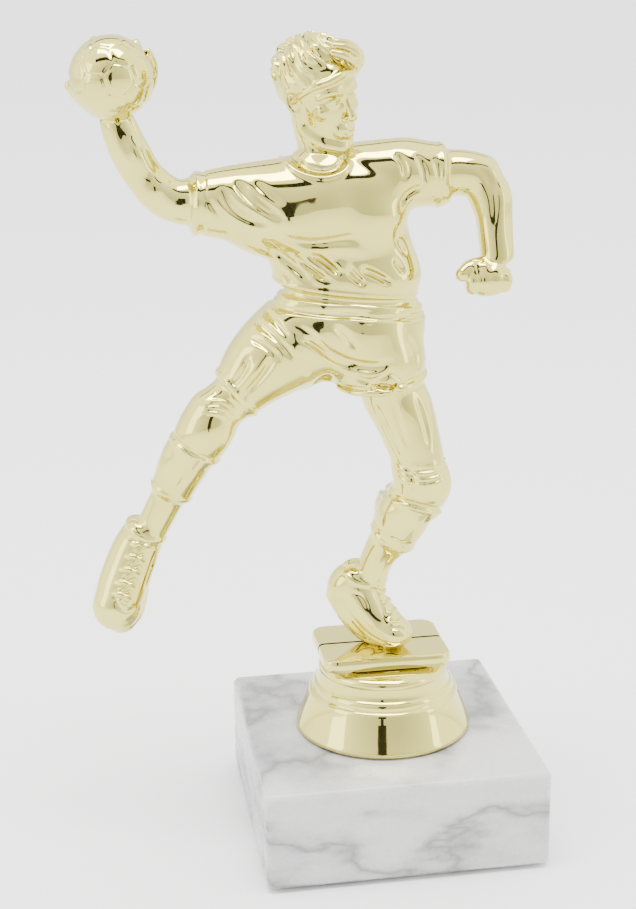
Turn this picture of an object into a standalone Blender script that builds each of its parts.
"""A sports figure trophy: a gold handball player, moulded as a front and a back shell, bolted to a marble block.

Metres, +Z up. The origin is the centre of the trophy's underside, and the front faces -Y.
Everything on top of the block is laid out in the figure's own frame, which starts at the centre of the block's
top face. The bolt, its washers, the captive nut and the figure share the vertical axis through the origin.
"""

import math

import bmesh
import bpy
from mathutils import Matrix, Vector

# ---- driving sizes ----------------------------------------------------------------------------------
GAP = 0.0003  # between pieces that touch

BLOCK_SIDE = 0.070
BLOCK_HEIGHT = 0.025
BLOCK_ROUNDING = 0.0018
BLOCK_FOOT_CHAMFER = 0.0008

PAD_RADIUS = 0.005
PAD_HEIGHT = 0.001
PAD_INSET = 0.009  # from each side of the block to the middle of a pad

RECESS_RADIUS = 0.012
RECESS_DEPTH = 0.010
BOLT_HOLE_RADIUS = 0.0037

THREAD_RADIUS = 0.003  # M6
HEX_FLATS = 0.010
BOLT_LENGTH = 0.030
BOLT_HEAD_HEIGHT = 0.004
NUT_HEIGHT = 0.005
NUT_BORE_RADIUS = THREAD_RADIUS + 0.0003
FLAT_WASHER_RADIUS = 0.009
SPRING_WASHER_RADIUS = 0.0059
WASHER_THICKNESS = 0.0016
WASHER_BORE_RADIUS = 0.0033

PEDESTAL_RADIUS = 0.0223
PEDESTAL_WALL = 0.0016
PLATE_WIDTH = 0.032
PLATE_DEPTH = 0.024
PLATE_TOP = 0.0225
PLATE_THICKNESS = 0.0035
PLATE_CENTRE = (-0.0005, 0.0008)
BOSS_RADIUS = 0.0080
RIB_THICKNESS = 0.0016
NUT_SEAT = 0.0035  # the underside of the captive nut, above the block

SHELL_WALL = 0.0019
MM = 0.001
BODY_VOXEL = 0.00085
CORE_VOXEL = 0.0012
BODY_TRIANGLES = 3600
CORE_TRIANGLES = 420

# ---- heights that follow from them ------------------------------------------------------------------
BLOCK_TOP = PAD_HEIGHT + BLOCK_HEIGHT
RECESS_CEILING = PAD_HEIGHT + RECESS_DEPTH
FLAT_WASHER_BASE = RECESS_CEILING - GAP - WASHER_THICKNESS
SPRING_WASHER_BASE = FLAT_WASHER_BASE - GAP - WASHER_THICKNESS
HEAD_TOP = SPRING_WASHER_BASE - GAP
HEX_RADIUS = HEX_FLATS / math.sqrt(3)  # to a corner

# ---- the player, in millimetres in the figure's frame: each station is x, y, z and a radius ----------
THROWING_SLEEVE = [
    (-15.0, 0.0, 133.5, 12.0),
    (-27.0, 0.2, 133.8, 10.6),
    (-36.0, 0.8, 134.6, 8.6),
    (-41.0, 1.0, 134.7, 7.0),
]
THROWING_ARM = [
    (-37.0, 1.0, 134.8, 6.2),
    (-43.7, 1.0, 135.2, 5.7),
    (-48.5, 1.0, 135.6, 5.1),
    (-52.4, 1.0, 138.0, 4.9),
    (-55.4, 1.2, 141.6, 4.5),
    (-58.1, 1.6, 146.3, 4.6),
    (-60.4, 1.9, 152.0, 4.2),
    (-61.6, 2.4, 156.5, 3.7),
]
THROWING_PALM = [
    (-61.6, 2.6, 157.0, 3.8),
    (-60.4, 6.4, 162.5, 4.0),
    (-58.4, 7.4, 167.0, 3.6),
]
LEADING_SLEEVE = [
    (-12.0, 0.0, 136.0, 9.5),
    (-2.0, 0.0, 139.0, 9.0),
    (5.0, -0.6, 140.3, 8.2),
    (14.5, -1.2, 139.9, 7.0),
]
LEADING_ARM = [
    (10.0, -1.0, 140.0, 5.6),
    (19.0, -1.6, 140.2, 5.3),
    (23.0, -2.4, 138.4, 5.0),
    (25.4, -4.6, 132.0, 4.4),
    (25.5, -6.8, 125.2, 4.0),
    (25.2, -8.0, 121.0, 3.6),
]
LEADING_FIST = [
    (20.0, -10.0, 116.4, 3.2),
    (23.4, -10.4, 116.2, 3.9),
    (26.6, -9.6, 116.6, 3.3),
]
LEADING_THUMB = [
    (24.0, -9.0, 120.0, 2.6),
    (19.6, -10.6, 119.0, 2.1),
    (16.4, -10.6, 117.6, 1.8),
]
TRAILING_SHORTS = [
    (-19.2, 0.0, 103.0, 12.2),
    (-26.2, -0.8, 98.6, 10.4),
    (-31.8, -1.6, 94.6, 8.5),
    (-36.8, -2.5, 89.2, 6.5),
]
TRAILING_LEG = [
    (-33.0, -1.8, 91.0, 6.0),
    (-39.6, -3.0, 87.4, 5.6),
    (-43.6, -3.0, 81.6, 6.0),
    (-48.1, -1.0, 74.2, 5.8),
    (-51.4, 0.8, 67.0, 4.6),
    (-56.4, 2.4, 57.0, 4.1),
]
TRAILING_KNEE_PAD = [
    (-41.2, -4.0, 85.4, 6.4),
    (-43.3, -4.2, 82.2, 7.0),
    (-45.0, -3.4, 78.8, 6.2),
]
TRAILING_SHOE = [
    (-58.6, 3.0, 54.6, 5.2),
    (-61.8, 2.2, 49.0, 6.0),
    (-64.8, 0.0, 42.8, 6.0),
    (-66.6, -1.4, 37.8, 5.6),
]
STANDING_SHORTS = [
    (-3.0, 0.0, 102.0, 12.8),
    (-0.5, -0.6, 95.5, 11.0),
    (1.8, -1.4, 89.6, 8.8),
]
STANDING_LEG = [
    (1.8, -1.4, 89.6, 7.9),
    (4.4, -2.5, 83.5, 7.7),
    (6.9, -4.2, 75.5, 6.8),
    (8.4, -5.0, 68.5, 6.2),
    (7.6, -4.0, 62.0, 6.4),
    (4.8, -2.6, 57.4, 6.5),
    (2.8, -1.0, 51.8, 6.0),
    (-0.6, 0.6, 46.0, 4.5),
    (-2.8, 1.4, 41.0, 4.2),
]
STANDING_KNEE_PAD = [
    (7.8, -5.2, 70.0, 6.3),
    (9.2, -6.0, 66.0, 7.2),
    (9.0, -5.2, 61.6, 6.0),
]
STANDING_SHOE = [
    (-7.0, 3.4, 37.4, 5.3),
    (-3.8, 1.4, 31.4, 5.7),
    (0.3, -1.0, 27.0, 5.7),
    (1.6, -3.8, 26.2, 4.8),
]
NECK = [
    (-14.4, 0.5, 140.0, 6.2),
    (-14.4, 0.5, 147.0, 5.5),
    (-14.8, 0.2, 153.0, 5.8),
]
HAIR_LOCK = [
    (-10.0, -3.0, 168.6, 3.4),
    (-5.6, -2.6, 167.4, 2.4),
    (-4.2, -2.2, 165.0, 1.6),
]
NOSE = [
    (-8.6, -8.4, 158.6, 1.0),
    (-7.6, -9.6, 155.4, 1.4),
]
LIMBS = {
    "throwing_sleeve": THROWING_SLEEVE,
    "throwing_arm": THROWING_ARM,
    "throwing_palm": THROWING_PALM,
    "leading_sleeve": LEADING_SLEEVE,
    "leading_arm": LEADING_ARM,
    "leading_fist": LEADING_FIST,
    "leading_thumb": LEADING_THUMB,
    "trailing_shorts": TRAILING_SHORTS,
    "trailing_leg": TRAILING_LEG,
    "trailing_knee_pad": TRAILING_KNEE_PAD,
    "trailing_shoe": TRAILING_SHOE,
    "standing_shorts": STANDING_SHORTS,
    "standing_leg": STANDING_LEG,
    "standing_knee_pad": STANDING_KNEE_PAD,
    "standing_shoe": STANDING_SHOE,
    "neck": NECK,
    "hair_lock": HAIR_LOCK,
    "nose": NOSE,
}
# Rounded masses: a centre, the half sizes across, in depth and in height, and a turn about the vertical.
HEAD_TURN = 40.0
MASSES = {
    "ball": ((-61.9, 0.0, 163.7), (9.5, 9.5, 9.5), 0.0),
    "hair": ((-15.4, 0.6, 163.4), (9.6, 10.8, 8.4), HEAD_TURN),
    "cranium": ((-14.8, -0.6, 160.6), (8.6, 10.4, 9.4), HEAD_TURN),
    "jaw": ((-12.6, -3.0, 152.4), (6.2, 7.0, 6.4), HEAD_TURN),
    "chest": ((-11.0, 0.0, 128.0), (18.4, 10.6, 14.0), 0.0),
    "belly": ((-9.6, 0.0, 119.0), (18.4, 10.4, 8.4), 0.0),
    "waist": ((-8.4, 0.0, 112.5), (16.8, 9.6, 8.0), 0.0),
    "pelvis": ((-10.4, 0.0, 104.0), (20.4, 11.0, 10.0), 0.0),
}
SLIM_LIMBS = ("throwing_arm", "leading_arm", "trailing_leg", "neck")
SLIM_WALL = 1.7
CORE_LIMBS = ("throwing_sleeve", "leading_sleeve", "trailing_shorts", "standing_shorts", "standing_leg")
CORE_MASSES = ("ball", "cranium", "chest", "belly", "waist", "pelvis")
PARTED_LIMBS = (
    "throwing_sleeve",
    "throwing_arm",
    "leading_sleeve",
    "leading_arm",
    "leading_fist",
    "trailing_shorts",
    "trailing_leg",
    "trailing_shoe",
    "standing_shorts",
    "standing_leg",
    "standing_shoe",
    "neck",
)

COLOURS = {
    "gold_plastic": ((0.86, 0.79, 0.48), 0.08, 1.0),
    "marble": ((0.82, 0.82, 0.80), 0.25, 0.0),
    "zinc_steel": ((0.62, 0.63, 0.65), 0.35, 1.0),
    "pad_foam": ((0.12, 0.12, 0.12), 0.95, 0.0),
}


# ---- scene and small helpers ------------------------------------------------------------------------
def clear_scene():
    for obj in list(bpy.data.objects):
        bpy.data.objects.remove(obj, do_unlink=True)


def collection(name):
    made = bpy.data.collections.new(name)
    bpy.context.scene.collection.children.link(made)
    return made


def material(name):
    colour, roughness, metallic = COLOURS[name]
    made = bpy.data.materials.get(name) or bpy.data.materials.new(name)
    made.use_nodes = True
    shader = made.node_tree.nodes["Principled BSDF"]
    shader.inputs["Base Color"].default_value = (*colour, 1.0)
    shader.inputs["Roughness"].default_value = roughness
    shader.inputs["Metallic"].default_value = metallic
    return made


def new_object(name, bm, place=(0, 0, 0)):
    mesh = bpy.data.meshes.new(name)
    bm.to_mesh(mesh)
    bm.free()
    obj = bpy.data.objects.new(name, mesh)
    obj.location = place
    HELPERS.objects.link(obj)
    obj.hide_render = True
    obj.display_type = "WIRE"
    return obj


def finish(obj, material_name, parent=None):
    """Turns a helper into a visible part of the trophy."""
    HELPERS.objects.unlink(obj)
    PARTS.objects.link(obj)
    obj.hide_render = False
    obj.display_type = "TEXTURED"
    obj.data.materials.clear()
    obj.data.materials.append(material(material_name))
    obj.data.shade_smooth()
    obj.data.set_sharp_from_angle(angle=math.radians(35))
    obj.parent = parent
    return obj


def boolean(obj, other, operation, solver="EXACT"):
    step = obj.modifiers.new(f"{operation.lower()}_{other.name}", "BOOLEAN")
    step.operation = operation
    step.object = other
    step.solver = solver
    return obj


def frozen(obj, name=None):
    """A new helper that holds obj's shape with its modifiers applied."""
    bpy.context.view_layer.update()
    graph = bpy.context.evaluated_depsgraph_get()
    mesh = bpy.data.meshes.new_from_object(obj.evaluated_get(graph))
    made = bpy.data.objects.new(name or obj.name + "_solid", mesh)
    made.matrix_world = obj.matrix_world
    made.hide_render = True
    made.display_type = "WIRE"
    HELPERS.objects.link(made)
    return made


# ---- simple solids ----------------------------------------------------------------------------------
def cylinder(name, radius, bottom, top, sides=48, place=(0, 0)):
    bm = bmesh.new()
    bmesh.ops.create_cone(
        bm, cap_ends=True, segments=sides, radius1=radius, radius2=radius, depth=top - bottom
    )
    bmesh.ops.rotate(bm, verts=bm.verts, matrix=Matrix.Rotation(math.pi / sides, 3, "Z"))
    return new_object(name, bm, (*place, (top + bottom) / 2))


def box(name, size, centre, turn=0.0):
    bm = bmesh.new()
    bmesh.ops.create_cube(bm, size=1.0)
    bmesh.ops.scale(bm, vec=size, verts=bm.verts)
    bmesh.ops.rotate(bm, verts=bm.verts, matrix=Matrix.Rotation(turn, 3, "Z"))
    return new_object(name, bm, centre)


def turned(name, profile, steps=64):
    """A profile of (radius, height) points turned about the Z axis, running from top to bottom."""
    bm = bmesh.new()
    verts = [bm.verts.new((radius, 0, height)) for radius, height in profile]
    for first, second in zip(verts, verts[1:]):
        bm.edges.new((first, second))
    if profile[0][0] > 0 and profile[-1][0] > 0:
        bm.edges.new((verts[-1], verts[0]))
    obj = new_object(name, bm)
    screw = obj.modifiers.new("turn", "SCREW")
    screw.steps = screw.render_steps = steps
    screw.use_merge_vertices = True
    screw.merge_threshold = 0.00001
    return obj


def ellipsoid(name, centre, radii, turn=0.0, segments=32):
    """A rounded mass: sizes in metres, the turn in degrees about the vertical through its centre."""
    bm = bmesh.new()
    bmesh.ops.create_uvsphere(bm, u_segments=segments, v_segments=segments // 2, radius=1.0)
    bmesh.ops.scale(bm, vec=radii, verts=bm.verts)
    bmesh.ops.rotate(bm, verts=bm.verts, matrix=Matrix.Rotation(math.radians(turn), 3, "Z"))
    return new_object(name, bm, centre)


def taper(name, start, end, start_radius, end_radius):
    """A cone between two balls, touching both along a circle."""
    along = end - start
    length = along.length
    lean = (start_radius - end_radius) / length
    spread = math.sqrt(max(1.0 - lean * lean, 0.0))
    foot = start + along * (start_radius * lean / length)
    tip = end + along * (end_radius * lean / length)
    bm = bmesh.new()
    bmesh.ops.create_cone(
        bm,
        cap_ends=True,
        segments=24,
        radius1=start_radius * spread,
        radius2=end_radius * spread,
        depth=(tip - foot).length,
    )
    made = new_object(name, bm, (foot + tip) / 2)
    made.rotation_mode = "QUATERNION"
    made.rotation_quaternion = along.to_track_quat("Z", "Y")
    return made


def limb(name, stations, wall=0.0):
    """Balls at the stations and a taper between each two, thinner by the wall."""
    places = [Vector(station[:3]) * MM for station in stations]
    radii = [max(station[3] - wall, 0.4) * MM for station in stations]
    pieces = []
    for number, (place, radius) in enumerate(zip(places, radii)):
        pieces.append(ellipsoid(f"{name}_ball_{number}", place, (radius,) * 3, segments=24))
    for number in range(len(places) - 1):
        ends = places[number : number + 2]
        if ends[0] != ends[1]:
            pieces.append(taper(f"{name}_taper_{number}", *ends, *radii[number : number + 2]))
    return pieces


def mass(name, wall=0.0):
    centre, radii, turn = MASSES[name]
    sizes = [(radius - wall) * MM for radius in radii]
    return ellipsoid(f"{name}_{wall:.1f}", Vector(centre) * MM, sizes, turn)


def merged(name, pieces):
    """One helper object that holds several closed meshes, overlapping as they are."""
    bm = bmesh.new()
    for piece in pieces:
        bpy.context.view_layer.update()
        part = bmesh.new()
        part.from_mesh(piece.data)
        bmesh.ops.remove_doubles(part, verts=part.verts, dist=0.000001)
        part.transform(piece.matrix_world)
        part.to_mesh(piece.data)
        part.free()
        bm.from_mesh(piece.data)
        bpy.data.objects.remove(piece)
    return new_object(name, bm)


def skinned(obj, voxel, smoothing, triangles):
    """One closed skin over overlapping meshes, smoothed and thinned out to about that many triangles."""
    remesh = obj.modifiers.new("skin", "REMESH")
    remesh.mode = "VOXEL"
    remesh.voxel_size = voxel
    smooth = obj.modifiers.new("smooth", "SMOOTH")
    smooth.factor = 0.5
    smooth.iterations = smoothing
    fine = frozen(obj, obj.name + "_fine")
    fine.data.calc_loop_triangles()
    thin = fine.modifiers.new("thin", "DECIMATE")
    thin.ratio = triangles / len(fine.data.loop_triangles)
    thin.use_collapse_triangulate = True
    made = frozen(fine, obj.name + "_skin")
    bpy.data.objects.remove(fine)
    bpy.data.objects.remove(obj)
    return made


# ---- block and pads ---------------------------------------------------------------------------------
def marble_base():
    bm = bmesh.new()
    bmesh.ops.create_cube(bm, size=1.0)
    bmesh.ops.scale(bm, vec=(BLOCK_SIDE, BLOCK_SIDE, BLOCK_HEIGHT), verts=bm.verts)
    foot = [e for e in bm.edges if all(v.co.z < 0 for v in e.verts)]
    bmesh.ops.bevel(bm, geom=foot, offset=BLOCK_FOOT_CHAMFER, segments=1, affect="EDGES")
    middle = PAD_HEIGHT + BLOCK_HEIGHT / 2
    block = new_object("marble_base", bm, (0, 0, middle))
    upper = BLOCK_HEIGHT / 2 - BLOCK_FOOT_CHAMFER / 2
    rounding = block.modifiers.new("round_edges", "BEVEL")
    rounding.width = BLOCK_ROUNDING
    rounding.segments = 4
    rounding.limit_method = "WEIGHT"
    weights = block.data.attributes.new("bevel_weight_edge", "FLOAT", "EDGE")
    for edge in block.data.edges:
        ends = [block.data.vertices[i].co for i in edge.vertices]
        upright = abs(ends[0].z - ends[1].z) > BLOCK_HEIGHT / 2
        topmost = all(end.z > upper - 0.001 for end in ends)
        weights.data[edge.index].value = 1.0 if upright or topmost else 0.0
    recess = cylinder("recess", RECESS_RADIUS, -0.002, RECESS_CEILING)
    hole = cylinder("bolt_hole", BOLT_HOLE_RADIUS, RECESS_CEILING - 0.002, BLOCK_TOP + 0.002, 32)
    boolean(block, recess, "DIFFERENCE")
    boolean(block, hole, "DIFFERENCE")
    return finish(block, "marble")


def pads():
    reach = BLOCK_SIDE / 2 - PAD_INSET
    corners = {
        "pad_front_left": (-reach, -reach),
        "pad_front_right": (reach, -reach),
        "pad_back_left": (-reach, reach),
        "pad_back_right": (reach, reach),
    }
    for name, place in corners.items():
        pad = cylinder(name, PAD_RADIUS, 0.0, PAD_HEIGHT - GAP / 2, 32, place)
        finish(pad, "pad_foam")


# ---- fasteners --------------------------------------------------------------------------------------
def hexagon(name, bottom, top, bearing_top=False):
    """A hexagonal prism with its corners turned off at 30 degrees, except at a head's bearing face."""
    prism = cylinder(name, HEX_RADIUS, bottom, top, 6)
    slope = math.tan(math.radians(30))
    face_radius = 0.97 * HEX_FLATS / 2
    wide = HEX_RADIUS + 0.001
    above = face_radius * slope
    below = (wide - face_radius) * slope
    shoulder = top + above if bearing_top else top - below
    profile = [(0, top + above), (wide, shoulder), (wide, bottom + below), (0, bottom - above)]
    boolean(prism, turned(name + "_corner_turning", profile), "INTERSECT")
    return prism


def base_bolt(parent):
    bolt = hexagon("base_bolt", HEAD_TOP - BOLT_HEAD_HEIGHT, HEAD_TOP, bearing_top=True)
    tip = HEAD_TOP + BOLT_LENGTH
    lead = 0.0008
    shank_profile = [
        (0, tip),
        (THREAD_RADIUS - lead, tip),
        (THREAD_RADIUS, tip - lead),
        (THREAD_RADIUS, HEAD_TOP - 0.001),
        (0, HEAD_TOP - 0.001),
    ]
    shank = turned("bolt_shank", shank_profile, 32)
    boolean(bolt, shank, "UNION")
    return finish(bolt, "zinc_steel", parent)


def flat_washer(parent):
    top = FLAT_WASHER_BASE + WASHER_THICKNESS
    profile = [
        (WASHER_BORE_RADIUS, top),
        (FLAT_WASHER_RADIUS, top),
        (FLAT_WASHER_RADIUS, FLAT_WASHER_BASE),
        (WASHER_BORE_RADIUS, FLAT_WASHER_BASE),
    ]
    return finish(turned("flat_washer", profile, 48), "zinc_steel", parent)


def spring_washer(parent):
    """A split ring: the slanted saw cut leaves it one open coil."""
    top = SPRING_WASHER_BASE + WASHER_THICKNESS
    profile = [
        (WASHER_BORE_RADIUS, top),
        (SPRING_WASHER_RADIUS, top),
        (SPRING_WASHER_RADIUS, SPRING_WASHER_BASE),
        (WASHER_BORE_RADIUS, SPRING_WASHER_BASE),
    ]
    ring = turned("spring_washer", profile, 48)
    middle = (0.5 * (WASHER_BORE_RADIUS + SPRING_WASHER_RADIUS), 0, (top + SPRING_WASHER_BASE) / 2)
    cut = box("washer_split", (0.005, 0.0007, 0.005), middle)
    cut.rotation_euler.x = math.radians(25)
    boolean(ring, cut, "DIFFERENCE")
    return finish(ring, "zinc_steel", parent)


def captive_nut(parent):
    bottom = NUT_SEAT
    blank = hexagon("nut_blank", bottom, bottom + NUT_HEIGHT)
    bore = cylinder("nut_bore", NUT_BORE_RADIUS, bottom - 0.001, bottom + NUT_HEIGHT + 0.001, 32)
    boolean(blank, bore, "DIFFERENCE")
    return finish(frozen(blank, "captive_nut"), "zinc_steel", parent)


# ---- pedestal ---------------------------------------------------------------------------------------
def pedestal_outside():
    """The flared round foot with its two steps, up to the square plate that the player stands on."""
    r = PEDESTAL_RADIUS
    profile = [
        (0, 0.0200),
        (0.0134, 0.0200),
        (0.0156, 0.0185),
        (0.0162, 0.0172),
        (0.0163, 0.0160),
        (0.0174, 0.0148),
        (0.0182, 0.0112),
        (0.0190, 0.0105),
        (0.0192, 0.0093),
        (r - 0.0001, 0.0018),
        (r, 0.0010),
        (r - 0.0003, 0.0004),
        (r - 0.0010, GAP),
        (0, GAP),
    ]
    foot = turned("pedestal_foot", profile, 56)
    bm = bmesh.new()
    bmesh.ops.create_cube(bm, size=1.0)
    bmesh.ops.scale(bm, vec=(PLATE_WIDTH, PLATE_DEPTH, PLATE_THICKNESS), verts=bm.verts)
    upright = [e for e in bm.edges if abs(e.verts[0].co.z - e.verts[1].co.z) > 0.001]
    bmesh.ops.bevel(bm, geom=upright, offset=0.0035, segments=3, affect="EDGES", profile=0.5)
    plate = new_object("pedestal_plate", bm, (*PLATE_CENTRE, PLATE_TOP - PLATE_THICKNESS / 2))
    edge = plate.modifiers.new("soft_edge", "BEVEL")
    edge.width = 0.0009
    edge.segments = 2
    edge.limit_method = "ANGLE"
    boolean(foot, plate, "UNION")
    return frozen(foot, "pedestal")


def pedestal_hollow():
    """The space inside the foot, open below, around the boss and the four ribs that brace it."""
    w = PEDESTAL_WALL
    profile = [
        (0, 0.0150),
        (0.0118, 0.0150),
        (0.0142, 0.0135),
        (0.0188 - w, 0.0093),
        (PEDESTAL_RADIUS - w - 0.0004, 0.0005),
        (PEDESTAL_RADIUS - w - 0.0004, -0.0020),
        (0, -0.0020),
    ]
    hollow = turned("foot_hollow", profile, 48)
    boolean(hollow, cylinder("boss", BOSS_RADIUS, GAP, 0.0170, 40), "DIFFERENCE")
    for number, degrees in enumerate((45, 135)):
        rib = box(f"rib_{number}", (0.050, RIB_THICKNESS, 0.0160), (0, 0, 0.0100), math.radians(degrees))
        boolean(hollow, rib, "DIFFERENCE")
    return frozen(hollow, "pedestal_hollow")


# ---- the player -------------------------------------------------------------------------------------
def player_outside():
    pieces = [piece for name, stations in LIMBS.items() for piece in limb(name, stations)]
    pieces += [mass(name) for name in MASSES]
    return skinned(merged("player", pieces), BODY_VOXEL, 3, BODY_TRIANGLES)


def player_hollow():
    """What the moulding leaves empty: the thick limbs and masses again, smaller by the wall."""
    wall = SHELL_WALL / MM
    pieces = [piece for name in CORE_LIMBS for piece in limb("core_" + name, LIMBS[name], wall)]
    pieces += [piece for name in SLIM_LIMBS for piece in limb("core_" + name, LIMBS[name], SLIM_WALL)]
    pieces += [mass(name, wall) for name in CORE_MASSES]
    return skinned(merged("player_core", pieces), CORE_VOXEL, 2, CORE_TRIANGLES)


def parting_depth(x, z):
    """How far back the two shells meet at this place: it follows the middle of the nearest limbs."""
    softness = 3.0
    total = weight_sum = 0.0
    for name in PARTED_LIMBS:
        stations = LIMBS[name]
        for first, second in zip(stations, stations[1:]):
            for share in (0.0, 0.5):
                px, py, pz = (a + share * (b - a) for a, b in zip(first[:3], second[:3]))
                weight = 1 / ((x / MM - px) ** 2 + (z / MM - pz) ** 2 + softness**2) ** 2
                total += weight * py
                weight_sum += weight
    follow = min(max((z - PLATE_TOP) / 0.004, 0.0), 1.0)
    return follow * total / weight_sum * MM


def parting_block(name, side):
    """Everything in front of (side -1) or behind (side 1) the surface where the shells meet."""
    columns, rows = 22, 34
    left, right, low, high = -0.085, 0.045, -0.006, 0.182
    reach = side * 0.040
    bm = bmesh.new()
    near, far = [], []
    for row in range(rows + 1):
        z = low + (high - low) * row / rows
        xs = [left + (right - left) * column / columns for column in range(columns + 1)]
        near.append([bm.verts.new((x, parting_depth(x, z) + side * GAP / 2, z)) for x in xs])
        far.append([bm.verts.new((x, reach, z)) for x in xs])
    for sheet in (near, far):
        for a, b in zip(sheet, sheet[1:]):
            for column in range(columns):
                bm.faces.new((a[column], a[column + 1], b[column + 1]))
                bm.faces.new((a[column], b[column + 1], b[column]))
    rims = [[sheet[0] for sheet in (near, far)], [sheet[-1] for sheet in (near, far)]]
    rims += [[[row[end] for row in sheet] for sheet in (near, far)] for end in (0, -1)]
    for close, distant in rims:
        for n in range(len(close) - 1):
            bm.faces.new((close[n], close[n + 1], distant[n + 1], distant[n]))
    bmesh.ops.recalc_face_normals(bm, faces=bm.faces)
    return new_object(name, bm)


def figure_shells(parent):
    """The whole figure, hollowed out and cut in two. EXACT leaves open edges on it, so each cut is MANIFOLD."""
    pocket_radius = HEX_RADIUS + GAP
    nut_top = NUT_SEAT + NUT_HEIGHT + GAP
    hollows = [
        pedestal_hollow(),
        cylinder("nut_pocket", pocket_radius, -0.002, nut_top, 6),
        cylinder("bolt_room", THREAD_RADIUS + GAP, nut_top - 0.001, 0.0150, 24),
        player_hollow(),
    ]
    whole = boolean(player_outside(), pedestal_outside(), "UNION", "MANIFOLD")
    for hollow in hollows:
        boolean(whole, hollow, "DIFFERENCE", "MANIFOLD")
    solid = frozen(whole, "whole_figure")
    for name, side in (("figure_front_shell", -1), ("figure_back_shell", 1)):
        uncut = frozen(solid, name + "_uncut")
        boolean(uncut, parting_block(name + "_side", side), "INTERSECT", "MANIFOLD")
        finish(frozen(uncut, name), "gold_plastic", parent)


def build():
    on_block = bpy.data.objects.new("figure_axis", None)
    on_block.location = (0, 0, BLOCK_TOP)
    PARTS.objects.link(on_block)
    bolt_axis = bpy.data.objects.new("bolt_axis", None)
    PARTS.objects.link(bolt_axis)
    marble_base()
    pads()
    flat_washer(bolt_axis)
    spring_washer(bolt_axis)
    base_bolt(bolt_axis)
    captive_nut(on_block)
    figure_shells(on_block)


clear_scene()
PARTS = collection("figure_trophy")
HELPERS = collection("cutters")
build()
